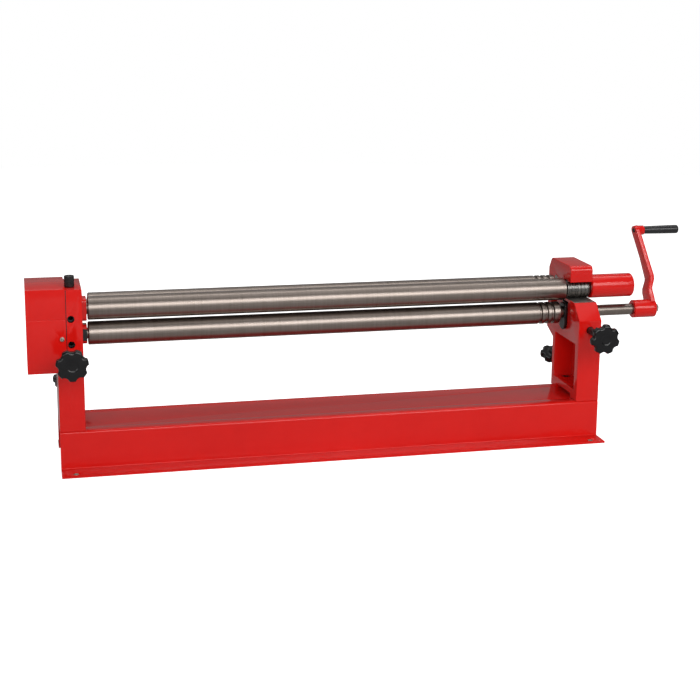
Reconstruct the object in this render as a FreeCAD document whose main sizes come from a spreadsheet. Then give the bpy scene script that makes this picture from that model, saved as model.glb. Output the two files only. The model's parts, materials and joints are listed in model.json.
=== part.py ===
import FreeCAD, Part
import Sketcher
import math
import os

# Slip roll machine: two end frames on a folded sheet base, a geared pair of
# pinch rolls, and an idle rear roll that sets the bend.
# Frame: +X towards the crank, +Y to the back, +Z up.  The origin is the centre
# of the four base bolt holes, on the plane that the machine stands on.

V = FreeCAD.Vector
ROT = FreeCAD.Rotation
doc = FreeCAD.newDocument("slip_roll")
sheet = doc.addObject("Spreadsheet::Sheet", "dims")
sheet.Label = "dims"


class Q:
    """A size: its value, and the same thing written as a sheet expression."""

    def __init__(self, val, expr):
        self.v = float(val)
        self.e = expr

    def __add__(self, o):
        o = q(o)
        return Q(self.v + o.v, "(%s + %s)" % (self.e, o.e))

    def __radd__(self, o):
        return q(o) + self

    def __sub__(self, o):
        o = q(o)
        return Q(self.v - o.v, "(%s - %s)" % (self.e, o.e))

    def __rsub__(self, o):
        return q(o) - self

    def __mul__(self, o):
        o = q(o)
        return Q(self.v * o.v, "(%s * %s)" % (self.e, o.e))

    def __rmul__(self, o):
        return q(o) * self

    def __truediv__(self, o):
        o = q(o)
        return Q(self.v / o.v, "(%s / %s)" % (self.e, o.e))

    def __neg__(self):
        return Q(-self.v, "(0 - %s)" % self.e)


def q(x):
    if isinstance(x, Q):
        return x
    x = float(x)
    return Q(x, ("%.6f" % x) if x >= 0 else ("(0 - %.6f)" % -x))


def bound(x):
    return isinstance(x, Q)


rows = [0]


def dim(name, value, note=""):
    rows[0] += 1
    r = str(rows[0])
    sheet.set("A" + r, name)
    sheet.set("B" + r, "%.6f" % value)
    sheet.setAlias("B" + r, name)
    if note:
        sheet.set("C" + r, note)
    return Q(value, "dims." + name)


# ---- base and frames
base_len = dim("base_len", 1220, "length of the base")
base_half = dim("base_half", 80, "half width over the legs")
base_top = dim("base_top", 87, "height of the web's top")
sheet_thk = dim("sheet_thk", 4, "base sheet")
flange_half = dim("flange_half", 130, "half width over the flanges")
bend_rad = dim("bend_rad", 6, "outer bend radius")
foot_hole_x = dim("foot_hole_x", 580)
foot_hole_y = dim("foot_hole_y", 116)
foot_hole_rad = dim("foot_hole_rad", 6)
face_in = dim("face_in", 556, "inner face of each frame")
face_out = dim("face_out", 610, "outer face of each frame")
mid_x = dim("mid_x", 583, "middle of each frame")
front_y = dim("front_y", -80)
back_y = dim("back_y", 80)
rear_y = dim("rear_y", 121, "back of the rear overhang")
rear_low = dim("rear_low", 220)
rear_root = dim("rear_root", 203)
left_top = dim("left_top", 394)
right_top = dim("right_top", 391)
# ---- rolls
roll_rad = dim("roll_rad", 25.4)
pinch_y = dim("pinch_y", 10, "pinch rolls' axis")
upper_z = dim("upper_z", 334)
lower_z = dim("lower_z", 279)
rearroll_y = dim("rearroll_y", 65)
rearroll_z = dim("rearroll_z", 331)
roll_left = dim("roll_left", -541.5)
roll_right = dim("roll_right", 550)
lower_right = dim("lower_right", 538)
groove_x = dim("groove_x", 489, "first wire groove, lower roll")
rear_groove_x = dim("rear_groove_x", 498, "first wire groove, rear roll")
rear_right = dim("rear_right", 545)
rear_left = dim("rear_left", -538)
groove_step = dim("groove_step", 15)
groove_half = dim("groove_half", 3.5)
groove_floor = dim("groove_floor", 21.2)
# ---- upper roll's ends
journal_rad = dim("journal_rad", 13)
run_fit = dim("run_fit", 0.05, "radial running clearance")
slide_gap = dim("slide_gap", 0.3, "gap between sliding pieces")
sleeve_rad = dim("sleeve_rad", 22)
mouth_rad = dim("mouth_rad", 22.3)
sleeve_flat = dim("sleeve_flat", 19.7)
jaw_y = dim("jaw_y", -17)
jaw_lip = dim("jaw_lip", 354)
mouth_front = dim("mouth_front", -45)
mouth_nose = dim("mouth_nose", 276)
grip_rad = dim("grip_rad", 27.5)
grip_in = dim("grip_in", 611.5)
grip_out = dim("grip_out", 717)
grip_up = dim("grip_up", 4, "grip's axis above the roll's")
neck_rad = dim("neck_rad", 18)
# ---- lower carriers and wedges
slot_half = dim("slot_half", 18.8, "slot, gear side")
block_half = dim("block_half", 18.5)
slot_right = dim("slot_right", 16.6, "slot, crank side")
block_right = dim("block_right", 16.3)
cav_low = dim("cav_low", 237.7)
cav_top = dim("cav_top", 272)
cav_front = dim("cav_front", -29)
cav_back = dim("cav_back", 46.5)
wedge_low = dim("wedge_low", 238)
wedge_mid = dim("wedge_mid", 259, "wedge height under the roll's axis")
wedge_slope = dim("wedge_slope", 0.363970, "tangent of 20 degrees")
wedge_front = dim("wedge_front", -20)
wedge_back = dim("wedge_back", 34)
wedge_half = dim("wedge_half", 15)
screw_z = dim("screw_z", 254, "front screws' axis")
# ---- rear slides
tilt = dim("tilt", 20, "rear slides' lean from vertical, degrees")
rear_half = dim("rear_half", 16)
# ---- crank
shaft_rad = dim("shaft_rad", 13)
left_rad = dim("left_rad", 12)
hub_in = dim("hub_in", 724)
hub_out = dim("hub_out", 779.5)
hub_rad = dim("hub_rad", 21)
throw = dim("throw", 189, "crank throw")
crank_lean = dim("crank_lean", 22, "crank's turn to the back as drawn, degrees")
arm_half = dim("arm_half", 13.5)
arm_root = dim("arm_root", 20.6, "half width of the arm at the hub")
arm_thk = dim("arm_thk", 9.5)
# ---- gears
gear_in = dim("gear_in", -618)
gear_out = dim("gear_out", -640)
gear_tip = dim("gear_tip", 30)
teeth = 13
# ---- cover
cov_left = dim("cov_left", -672)
cov_right = dim("cov_right", -590.5)
cov_low = dim("cov_low", 217)
cov_back = dim("cov_back", 54)
cov_thk = dim("cov_thk", 2)
# ---- knobs
knob_rad = dim("knob_rad", 34)
knob_thk = dim("knob_thk", 24)
doc.recompute()

SIN_T = math.sin(math.radians(tilt.v))
COS_T = math.cos(math.radians(tilt.v))
U = V(0, -SIN_T, COS_T)

nodes = []
count = [0]


def uid(prefix):
    count[0] += 1
    return "%s_%03d" % (prefix, count[0])


def place(obj, at, rot):
    at = [q(a) for a in at]
    obj.Placement = FreeCAD.Placement(V(at[0].v, at[1].v, at[2].v), rot or ROT())
    for axis, a in zip("xyz", at):
        if "dims." in a.e:
            obj.setExpression("Placement.Base." + axis, a.e)


class Piece:
    """One body, built from sketches on its own origin planes."""

    def __init__(self, label, at=(0, 0, 0), rot=None):
        self.b = doc.addObject("PartDesign::Body", label)
        self.b.Label = label
        place(self.b, at, rot)
        nodes.append(self.b)
        self.tip = None

    def origin(self, role):
        return [o for o in self.b.Origin.OriginFeatures if o.Role == role][0]

    def sketch(self, plane, off):
        sk = self.b.newObject("Sketcher::SketchObject", uid("sk"))
        sk.AttachmentSupport = [(self.origin(plane + "_Plane"), "")]
        sk.MapMode = "FlatFace"
        off = q(off)
        sk.AttachmentOffset = FreeCAD.Placement(V(0, 0, off.v), ROT())
        if "dims." in off.e:
            sk.setExpression("AttachmentOffset.Base.z", off.e)
        return sk

    def con(self, sk, kind, args, val):
        val = q(val)
        k = sk.addConstraint(Sketcher.Constraint(kind, *(list(args) + [val.v])))
        if "dims." in val.e:
            sk.setExpression("Constraints[%d]" % k, val.e)

    def poly(self, sk, pts):
        g0 = sk.GeometryCount
        n = len(pts)
        for i in range(n):
            a = [q(c).v for c in pts[i]]
            c = [q(d).v for d in pts[(i + 1) % n]]
            sk.addGeometry(Part.LineSegment(V(a[0], a[1], 0), V(c[0], c[1], 0)), False)
        for i in range(n):
            sk.addConstraint(Sketcher.Constraint("Coincident", g0 + i, 2, g0 + (i + 1) % n, 1))
        for i in range(n):
            self.con(sk, "DistanceX", (-1, 1, g0 + i, 1), pts[i][0])
            self.con(sk, "DistanceY", (-1, 1, g0 + i, 1), pts[i][1])

    def circle(self, sk, cx, cy, rad):
        g = sk.addGeometry(Part.Circle(V(q(cx).v, q(cy).v, 0), V(0, 0, 1), q(rad).v), False)
        self.con(sk, "DistanceX", (-1, 1, g, 3), cx)
        self.con(sk, "DistanceY", (-1, 1, g, 3), cy)
        self.con(sk, "Radius", (g,), rad)

    def run(self, sk, lo, hi, cut):
        f = self.b.newObject("PartDesign::" + ("Pocket" if cut else "Pad"), uid("cut" if cut else "pad"))
        f.Profile = sk
        length = q(hi) - q(lo)
        f.Length = length.v
        if "dims." in length.e:
            f.setExpression("Length", length.e)
        f.Reversed = bool(cut)
        sk.Visibility = False
        self.tip = f
        return f

    def ex(self, plane, lo, hi, pts=None, circles=None, cut=False):
        """Material (or a cut) from lo to hi along the plane's axis."""
        off = -q(hi) if plane == "XZ" else lo
        sk = self.sketch(plane, off)
        if pts:
            self.poly(sk, pts)
        for c in circles or []:
            self.circle(sk, *c)
        return self.run(sk, lo, hi, cut)

    def box(self, x0, x1, y0, y1, z0, z1, cut=False):
        return self.ex("XY", z0, z1, pts=[(x0, y0), (x1, y0), (x1, y1), (x0, y1)], cut=cut)

    def turn(self, pts, cut=False):
        """Turned shape about the piece's own X axis: pts are (x, radius)."""
        sk = self.sketch("XY", 0)
        self.poly(sk, pts)
        f = self.b.newObject("PartDesign::" + ("Groove" if cut else "Revolution"), uid("turn"))
        f.Profile = sk
        f.ReferenceAxis = (sk, ["H_Axis"])
        f.Angle = 360
        sk.Visibility = False
        self.tip = f
        return f

    def around(self, feature, n):
        f = self.b.newObject("PartDesign::PolarPattern", uid("polar"))
        f.Originals = [feature]
        f.Axis = (self.origin("X_Axis"), [""])
        f.Angle = 360
        f.Occurrences = n
        self.b.Tip = f
        self.tip = f
        return f

    def drill(self, rad, length, at, rot):
        f = self.b.newObject("PartDesign::SubtractiveCylinder", uid("drill"))
        rad = q(rad)
        f.Radius = rad.v
        if "dims." in rad.e:
            f.setExpression("Radius", rad.e)
        f.Height = length
        f.Placement = FreeCAD.Placement(V(*at), rot)
        self.tip = f
        return f

    def round_edges(self, rad, test):
        doc.recompute()
        shp = self.tip.Shape
        names = []
        for i, e in enumerate(shp.Edges):
            if test(e):
                names.append("Edge%d" % (i + 1))
        if not names:
            raise RuntimeError("no edges to round on " + self.b.Label)
        f = self.b.newObject("PartDesign::Fillet", uid("fillet"))
        f.Base = (self.tip, names)
        rad = q(rad)
        f.Radius = rad.v
        if "dims." in rad.e:
            f.setExpression("Radius", rad.e)
        self.tip = f
        return f


def along(e, axis):
    """True for a straight edge along the axis."""
    if not isinstance(e.Curve, (Part.Line, Part.LineSegment)):
        return False
    d = e.Curve.Direction
    return abs(abs(d.dot(V(*axis))) - 1) < 1e-6


def near(e, **kw):
    c = e.BoundBox.Center
    return all(abs(getattr(c, k) - q(val).v) < 0.6 for k, val in kw.items())


# ---- base: one folded sheet, web on top, flanges turned outwards at the feet
p = Piece("base_channel")
t = sheet_thk
p.ex("YZ", -base_len / 2, base_len / 2, pts=[
    (-flange_half, 0), (-base_half + t, 0), (-base_half + t, base_top - t),
    (base_half - t, base_top - t), (base_half - t, 0), (flange_half, 0),
    (flange_half, t), (base_half, t), (base_half, base_top),
    (-base_half, base_top), (-base_half, t), (-flange_half, t)])
p.round_edges(bend_rad, lambda e: along(e, (1, 0, 0)) and any(
    near(e, y=s * y, z=z) for s in (1, -1) for y, z in ((80, 87), (76, 0))))
p.round_edges(bend_rad - t, lambda e: along(e, (1, 0, 0)) and any(
    near(e, y=s * y, z=z) for s in (1, -1) for y, z in ((76, 83), (80, 4))))
p.ex("XY", -1, t + 1, circles=[(sx * foot_hole_x, sy * foot_hole_y, foot_hole_rad)
                               for sx in (1, -1) for sy in (1, -1)], cut=True)
bolt_y = (-50, 52)
keep_at = ((-35, 241), (-35, 293), (44, 287), (44, 231))
p.ex("XY", base_top - t - 1, base_top + 1, circles=[
    (sx * mid_x, y, 6.5) for sx in (1, -1) for y in bolt_y], cut=True)


# ---- end frames.  s is +1 for the crank side, -1 for the gear side
def span(s, a, b):
    a, b = q(a), q(b)
    return (a, b) if s > 0 else (-b, -a)


def slide_rect(y, z, half, lo, hi):
    """Four corners of a box that leans with the rear slide."""
    out = []
    for w, u in ((-half, lo), (half, lo), (half, hi), (-half, hi)):
        out.append((y + COS_T * w - SIN_T * u, z + SIN_T * w + COS_T * u))
    return out


def frame(name, s):
    p = Piece(name)
    lo, hi = span(s, face_in, face_out)
    if s > 0:
        prof = [(front_y, base_top), (-40, base_top), (-40, base_top + 9), (45, base_top + 9),
                (45, base_top), (back_y, base_top), (back_y, rear_root), (rear_y, rear_low),
                (rear_y, 366), (105, right_top), (jaw_y, right_top), (jaw_y, upper_z - mouth_rad),
                (mouth_front, upper_z - mouth_rad), (front_y, mouth_nose)]
    else:
        prof = [(front_y, base_top), (-40, base_top), (-40, base_top + 9), (45, base_top + 9),
                (45, base_top), (back_y, base_top), (back_y, rear_root), (rear_y, rear_low),
                (rear_y, 340), (41, left_top), (front_y, left_top)]
    p.ex("YZ", lo, hi, pts=prof)
    if s > 0:
        # the top of the jaw is rounded over
        p.round_edges(12, lambda e: along(e, (1, 0, 0)) and near(e, y=jaw_y, z=right_top))
        p.round_edges(14, lambda e: along(e, (1, 0, 0)) and (near(e, y=105, z=right_top) or near(e, y=rear_y, z=366)))
    else:
        p.round_edges(8, lambda e: along(e, (1, 0, 0)) and (near(e, y=rear_y, z=340)))
    # small radius along the outline, as the paint and a file leave it
    def rim(e):
        bb = e.BoundBox
        flat_x = bb.XLength < 0.01
        return flat_x and abs(abs(bb.Center.x) - 583) > 20
    p.round_edges(1.2, rim)
    # window: a recess open to the rolls, with a web left on the outside
    a, b = span(s, face_in, 600)
    w = p.ex("YZ", a, b, pts=[(-62, 111), (65, 111), (65, 219), (-62, 219)], cut=True)
    # foot bolts, their heads sunk in the window's floor
    p.ex("XY", base_top - 1, 112, circles=[(s * mid_x, y, 6.5) for y in bolt_y], cut=True)
    p.ex("XY", 99, 112, circles=[(s * mid_x, y, 10.5) for y in bolt_y], cut=True)
    # slot for the lower roll's block, and the cavity for its wedge
    top = 306.5 if s > 0 else 308.7
    w = slot_right if s > 0 else slot_half
    foot = 249.7 if s > 0 else cav_low
    p.ex("YZ", lo, hi, pts=[(pinch_y - w, foot), (pinch_y + w, foot), (pinch_y + w, top), (pinch_y - w, top)], cut=True)
    a, b = span(s, mid_x - wedge_half - slide_gap, face_out)
    p.ex("YZ", a, b, pts=[(cav_front, cav_low), (cav_back, cav_low), (cav_back, cav_top), (cav_front, cav_top)], cut=True)
    # front screw: counterbore and threaded hole
    p.ex("XZ", front_y - 1, -62, circles=[(s * mid_x, screw_z, 9)], cut=True)
    p.ex("XZ", -63, cav_front + 1, circles=[(s * mid_x, screw_z, 6.3)], cut=True)
    # slot for the rear roll's block, and its screw's hole down and back
    a, b = span(s, face_in, 598)
    p.ex("YZ", a, b, pts=slide_rect(rearroll_y, rearroll_z, rear_half + slide_gap, -87, 21), cut=True)
    p.drill(8.3, 60, (s * 583, rearroll_y.v + SIN_T * 86, rearroll_z.v - COS_T * 86), ROT(V(0, 0, 1), -U))
    # tapped holes for the keeper plate on the outer face
    a, b = span(s, 599, 611)
    p.ex("YZ", a, b, circles=[(y, z, 2.6) for y, z in keep_at], cut=True)
    if s > 0:
        # mouth: open to the front, round at the back
        p.ex("YZ", lo, hi, circles=[(pinch_y, upper_z, mouth_rad)], cut=True)
        p.ex("YZ", lo, hi, pts=[(mouth_front - 2, upper_z - mouth_rad), (pinch_y, upper_z - mouth_rad),
                                (pinch_y, jaw_lip), (mouth_front - 2, jaw_lip)], cut=True)
    else:
        # pocket for the swivel block, hole for the gear shaft's bush, pivot bolt
        p.ex("YZ", -598, -face_in, pts=[(pinch_y - 24.5, 308.7), (pinch_y + 24.5, 308.7),
                                        (pinch_y + 24.5, 359.3), (pinch_y - 24.5, 359.3)], cut=True)
        p.ex("YZ", -face_out - 1, -597, circles=[(pinch_y, upper_z, 13)], cut=True)
        p.ex("XY", 358, left_top + 1, circles=[(-mid_x, pinch_y, 6.05)], cut=True)
        p.ex("XY", 368, left_top + 1, circles=[(-580, -45, 6.05)], cut=True)
        # two front holes, one at each pinch roll's height
        p.ex("XZ", front_y - 1, -66, circles=[(-580, 331.5, 7.5), (-580, 276.5, 7.5)], cut=True)
        p.ex("XZ", -67, -14, circles=[(-580, 331.5, 5.0)], cut=True)
        p.ex("XZ", -67, -8, circles=[(-580, 276.5, 5.0)], cut=True)
        # the cover's two screws
        p.ex("XZ", front_y - 1, -70, circles=[(-599, 290, 2.1)], cut=True)
        p.ex("YZ", -face_out - 1, -601, circles=[(42, 345, 2.1)], cut=True)
    return p


frame("left_housing", -1)
frame("right_housing", 1)


# ---- fasteners that come in sets: one node, separate solids
def prim(kind, at, rot=None, **kw):
    o = doc.addObject("Part::" + kind, uid(kind.lower()))
    for k, val in kw.items():
        if isinstance(val, int) and k == "Polygon":
            setattr(o, k, val)
            continue
        val = q(val)
        setattr(o, k, val.v)
        if "dims." in val.e:
            o.setExpression(k, val.e)
    place(o, at, rot)
    return o


def fuse(items):
    o = doc.addObject("Part::MultiFuse", uid("fuse"))
    o.Shapes = items
    return o


def cut(base, tool):
    o = doc.addObject("Part::Cut", uid("cutp"))
    o.Base = base
    o.Tool = tool
    return o


def group(label, items):
    o = doc.addObject("Part::Compound", label)
    o.Label = label
    o.Links = items
    nodes.append(o)
    return o


UP = None
TOX = ROT(V(0, 0, 1), V(1, 0, 0))
TOMX = ROT(V(0, 0, 1), V(-1, 0, 0))
TOY = ROT(V(0, 0, 1), V(0, 1, 0))
TOMY = ROT(V(0, 0, 1), V(0, -1, 0))


def shift(at, d, k):
    return (at[0] + d[0] * k, at[1] + d[1] * k, at[2] + d[2] * k)


def cap_screw(at, rot, d, head_r, head_h, shank_r, shank_l, hexa, depth):
    """Socket screw.  at is under the head, d the unit vector out of the head."""
    head = prim("Cylinder", at, rot, Radius=head_r, Height=head_h)
    back = shift(at, d, -shank_l)
    shank = prim("Cylinder", back, rot, Radius=shank_r, Height=shank_l + 0.5)
    sock = prim("Prism", shift(at, d, head_h - depth), rot, Polygon=6, Circumradius=hexa / math.sqrt(3), Height=depth + 1)
    return cut(fuse([head, shank]), sock)


bolts, washers, nuts = [], [], []
for s in (1, -1):
    for y in bolt_y:
        x = s * mid_x
        bolts.append(cap_screw((x, y, 101.5), UP, (0, 0, 1), 9, 9, 6, 36, 10, 5))
        for z in (99, 80.5):
            washers.append(cut(prim("Cylinder", (x, y, z), Radius=10.2, Height=2.5),
                               prim("Cylinder", (x, y, z - 1), Radius=6.4, Height=5)))
        nuts.append(cut(prim("Prism", (x, y, 70.5), Polygon=6, Circumradius=19 / math.sqrt(3), Height=10),
                        prim("Cylinder", (x, y, 69), Radius=6.0, Height=13)))
group("housing_bolts", bolts)
group("housing_washers", washers)
group("housing_nuts", nuts)

# ---- gear cover: a sheet box over the end frame's outer side
p = Piece("gear_cover")
t = cov_thk
yf = front_y - slide_gap
zt = left_top + slide_gap
p.box(cov_left, -face_out - slide_gap, yf - t, cov_back, cov_low, zt + t)
p.box(cov_left + t, -face_out + 1, yf, cov_back - t, cov_low + t, zt, cut=True)
p.box(-face_out - slide_gap, cov_right, yf - t, yf, cov_low, zt + t)
p.box(-face_out - slide_gap, cov_right, yf - t, cov_back, zt, zt + t)
p.box(-face_out - slide_gap - t, -face_out - slide_gap, 30, cov_back - t, 330, 360)
p.ex("XZ", yf - t - 1, yf + 1, circles=[(-599, 290, 2.7), (-mid_x, screw_z, 9.3)], cut=True)
p.ex("YZ", -face_out - 4, -face_out + 1, circles=[(42, 345, 2.7)], cut=True)


def pan_screw(at, rot, d, length):
    head = prim("Cylinder", at, rot, Radius=5, Height=2.6)
    rim = prim("Cone", shift(at, d, 2.6), rot, Radius1=5, Radius2=4, Height=1.0)
    shank = prim("Cylinder", shift(at, d, -length), rot, Radius=2.1, Height=length + 0.5)
    sock = prim("Prism", shift(at, d, 1.6), rot, Polygon=6, Circumradius=3 / math.sqrt(3), Height=4)
    return cut(fuse([head, rim, shank]), sock)


group("cover_screws", [
    pan_screw((-599, -82.3, 290), TOMY, (0, -1, 0), 11),
    pan_screw((-612.3, 42, 345), TOMX, (-1, 0, 0), 10)])

# ---- keeper plates over the lower slots, outside
ks = []
for name, s in (("keeper_plate_left", -1), ("keeper_plate_right", 1)):
    p = Piece(name)
    a, b = span(s, face_out + slide_gap, face_out + slide_gap + 4.7)
    p.ex("YZ", a, b, pts=[(-41, 225), (50, 225), (50, 305), (-41, 305)])
    p.round_edges(5, lambda e: along(e, (1, 0, 0)))
    a, b = span(s, face_out - 1, face_out + 7)
    p.ex("YZ", a, b, circles=[(pinch_y, lower_z, 17.5)], cut=True)
    p.ex("YZ", a, b, circles=[(y, z, 3.0) for y, z in keep_at], cut=True)
    for y, z in keep_at:
        rot, d = (TOX, (1, 0, 0)) if s > 0 else (TOMX, (-1, 0, 0))
        ks.append(cap_screw((s * 615.0, y, z), rot, d, 4.5, 2.5, 2.6, 13, 4, 1.8))
group("keeper_screws", ks)

# ---- grub screws deep in the two front holes of the gear-side frame
grubs = []
for z in (331.5, 276.5):
    body = prim("Cylinder", (-580, -32, z), TOMY, Radius=5.0, Height=12)
    sock = prim("Prism", (-580, -39, z), TOMY, Polygon=6, Circumradius=5 / math.sqrt(3), Height=8)
    grubs.append(cut(body, sock))
group("lock_screws", grubs)

TURN_Z = ROT(V(1, 0, 0), V(0, 0, 1))
TURN_Y = ROT(V(1, 0, 0), V(0, 1, 0))
TURN_U = ROT(V(1, 0, 0), U)

# ---- on the gear-side frame: knurled lock screw, and the swing-out end's pivot
p = Piece("swing_collar", (-580, -45, 0), TURN_Z)
p.turn([(370, 0), (370, 5.2), (370.8, 6), (left_top + slide_gap, 6), (left_top + slide_gap, 9.9), (394.9, 10.5), (417.6, 10.5), (418.2, 9.9), (418.2, 0)])
p.ex("YZ", 412, 419, pts=[(5.77 * math.cos(math.radians(60 * i)), 5.77 * math.sin(math.radians(60 * i)))
                          for i in range(6)], cut=True)
p = Piece("swing_bolt", (-mid_x, pinch_y, 0), TURN_Z)
p.turn([(351.5, 0), (351.5, 5.2), (352.3, 6), (393.2, 6), (394, 5.2), (394, 0)])
p.ex("YZ", 388, 395, pts=[(3.4 * math.cos(math.radians(60 * i)), 3.4 * math.sin(math.radians(60 * i)))
                          for i in range(6)], cut=True)

# ---- swivel block: carries the upper roll's left end and turns on the pivot
p = Piece("swivel_block", (0, pinch_y, 0))
p.box(-595, -544, -21, 21, 309, 359)
p.round_edges(9, lambda e: along(e, (1, 0, 0)))
p.ex("YZ", -596, -543, circles=[(0, upper_z, 16)], cut=True)
p.ex("XY", 347, 360, circles=[(-mid_x, 0, 6.05)], cut=True)
p.round_edges(1.2, lambda e: abs(e.BoundBox.Center.x + 544) < 0.01 and e.BoundBox.XLength < 0.01
              and e.BoundBox.YLength + e.BoundBox.ZLength < 60)
p = Piece("swivel_bush", (0, pinch_y, upper_z))
p.turn([(-572, journal_rad + run_fit), (-572, 16), (-545, 16), (-545, journal_rad + run_fit)])

# ---- upper roll: tongue, journal, body, journal
p = Piece("upper_roll", (0, pinch_y, upper_z))
p.turn([(-588.5, 0), (-588.5, 12.2), (-574, 12.2), (-574, journal_rad), (roll_left, journal_rad),
        (roll_left, roll_rad - 1.5), (roll_left + 1.5, roll_rad), (roll_right - 1.5, roll_rad),
        (roll_right, roll_rad - 1.5), (roll_right, journal_rad), (636, journal_rad), (636, 0)])
p.box(-589, -574, 5, 14, -14, 14, cut=True)
p.box(-589, -574, -14, -5, -14, 14, cut=True)
p = Piece("sleeve_clip", (0, pinch_y, upper_z))
p.turn([(631, journal_rad), (631, 17), (633, 17), (633, journal_rad)])

# ---- release sleeve: a flatted journal sleeve.  Flat up, it passes the lip
p = Piece("release_sleeve", (0, pinch_y, upper_z))
prof = [(552, journal_rad + run_fit), (552, sleeve_rad - 1), (553, sleeve_rad)]
for x in (562, 571, 577, 583, 592, 600):
    prof += [(x, sleeve_rad), (x, sleeve_rad - 1.2), (x + 2, sleeve_rad - 1.2), (x + 2, sleeve_rad)]
prof += [(606, sleeve_rad), (606, neck_rad), (628, neck_rad), (628, journal_rad + run_fit)]
p.turn(prof)
p.box(550, 606, -23, 23, sleeve_flat, 25, cut=True)
p = Piece("release_grip", (0, pinch_y, upper_z + grip_up))
p.turn([(grip_in, 0), (grip_in, grip_rad - 1.5), (grip_in + 1.5, grip_rad),
        (grip_out - 4, grip_rad), (grip_out - 1.2, grip_rad - 1.2), (grip_out, grip_rad - 4), (grip_out, 0)])
p.ex("YZ", grip_in - 1, 645, circles=[(0, -grip_up, neck_rad)], cut=True)
p.ex("XY", 11, 30, circles=[(620, 0, 3)], cut=True)
group("grip_set_screw", [cut(prim("Cylinder", (620, pinch_y, upper_z + 18), Radius=3, Height=6),
                             prim("Prism", (620, pinch_y, upper_z + 21), Polygon=6, Circumradius=3 / math.sqrt(3), Height=5))])


# ---- gears: equal, with long thin teeth so they stay in mesh as the gap changes
def gear(name, z_axis, bore, tooth_up):
    p = Piece(name, (0, pinch_y, z_axis))
    p.ex("YZ", gear_out, gear_in, circles=[(0, 0, gear_tip)])
    rp, rb, m = 26.0, 26.0 * math.cos(math.radians(25)), 4.0
    half = math.pi * m / 4 - 0.65
    inv = lambda a: math.tan(a) - a
    ip = inv(math.radians(25))
    side = []
    for r in (rb + 0.02, 25.0, 26.5, 28.2, 30.6):
        a = math.acos(min(1.0, rb / r))
        th = half / rp + ip - inv(a)
        side.append((r, th))
    pitch = 2 * math.pi / teeth
    # the gap between one tooth and the next, centred at the top
    g = [(32.5, pitch / 2 - side[-1][1])]
    for r, th in reversed(side):
        g.append((r, pitch / 2 - th))
    g.append((20.2, pitch / 2 - side[0][1]))
    pts = [(r * math.sin(-a), r * math.cos(a)) for r, a in g] + [(r * math.sin(a), r * math.cos(a)) for r, a in reversed(g)]
    flip = 0.0 if not tooth_up else pitch / 2
    if name == "upper_gear":
        flip = math.pi          # a gap faces the lower gear
    c, s = math.cos(flip), math.sin(flip)
    pts = [(x * c - y * s, x * s + y * c) for x, y in pts]
    f = p.ex("YZ", gear_out - 1, gear_in + 1, pts=pts, cut=True)
    p.around(f, teeth)
    p.ex("YZ", gear_out - 1, gear_in + 1, circles=[(0, 0, bore)], cut=True)
    return p


p = gear("upper_gear", upper_z, 10, False)
p.box(-641, -617, -3, 3, 0, 13, cut=True)
p = gear("lower_gear", lower_z, left_rad, True)
p.box(-641, -617, -3, 3, 0, 15, cut=True)

p = Piece("upper_gear_shaft", (0, pinch_y, upper_z))
p.turn([(-650, 0), (-650, 9.2), (-649.2, 10), (-592, 10), (-592, 13), (-576, 13), (-576, 0)])
p.box(-590, -575, -6.5, 6.5, -14, 14, cut=True)
p.box(-639.5, -618.5, -3, 3, 7, 12, cut=True)
group("upper_gear_key", [prim("Box", (-639.5, pinch_y - 3, upper_z + 7), Length=21, Width=6, Height=6)])
p = Piece("upper_gear_bush", (0, pinch_y, upper_z))
p.turn([(-613.3, 10.05), (-613.3, 16), (-610.3, 16), (-610.3, 13), (-598, 13), (-598, 10.05)])
p = Piece("upper_gear_clip", (0, pinch_y, upper_z))
p.turn([(-643, 10), (-643, 14), (-641, 14), (-641, 10)])

# ---- lower roll: gear shaft, body with wire grooves, crank shaft
p = Piece("lower_roll", (0, pinch_y, lower_z))
prof = [(-650, 0), (-650, left_rad - 0.8), (-649.2, left_rad), (roll_left, left_rad),
        (roll_left, roll_rad - 1.5), (roll_left + 1.5, roll_rad)]
for i in range(3):
    x = groove_x + groove_step * i
    prof += [(x - groove_half, roll_rad), (x - groove_half + 1.5, groove_floor),
             (x + groove_half - 1.5, groove_floor), (x + groove_half, roll_rad)]
prof += [(lower_right - 1.5, roll_rad), (lower_right, roll_rad - 1.5), (lower_right, shaft_rad), (hub_out, shaft_rad), (hub_out, 0)]
p.turn(prof)
p.box(-639.5, -618.5, -3, 3, 9, 14, cut=True)
p.box(730, 760, -3, 3, 9.5, 14, cut=True)
p.ex("YZ", 748, 782, circles=[(0, 0, 5)], cut=True)
group("lower_gear_key", [prim("Box", (-639.5, pinch_y - 3, lower_z + 9), Length=21, Width=6, Height=6)])
p = Piece("lower_gear_clip", (0, pinch_y, lower_z))
p.turn([(-643, left_rad), (-643, 16), (-641, 16), (-641, left_rad)])


# ---- blocks and bushes that carry the lower roll
def wedge_line(y):
    """Height of the sloping face, y measured from the roll's axis."""
    return wedge_mid - wedge_slope * y


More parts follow.
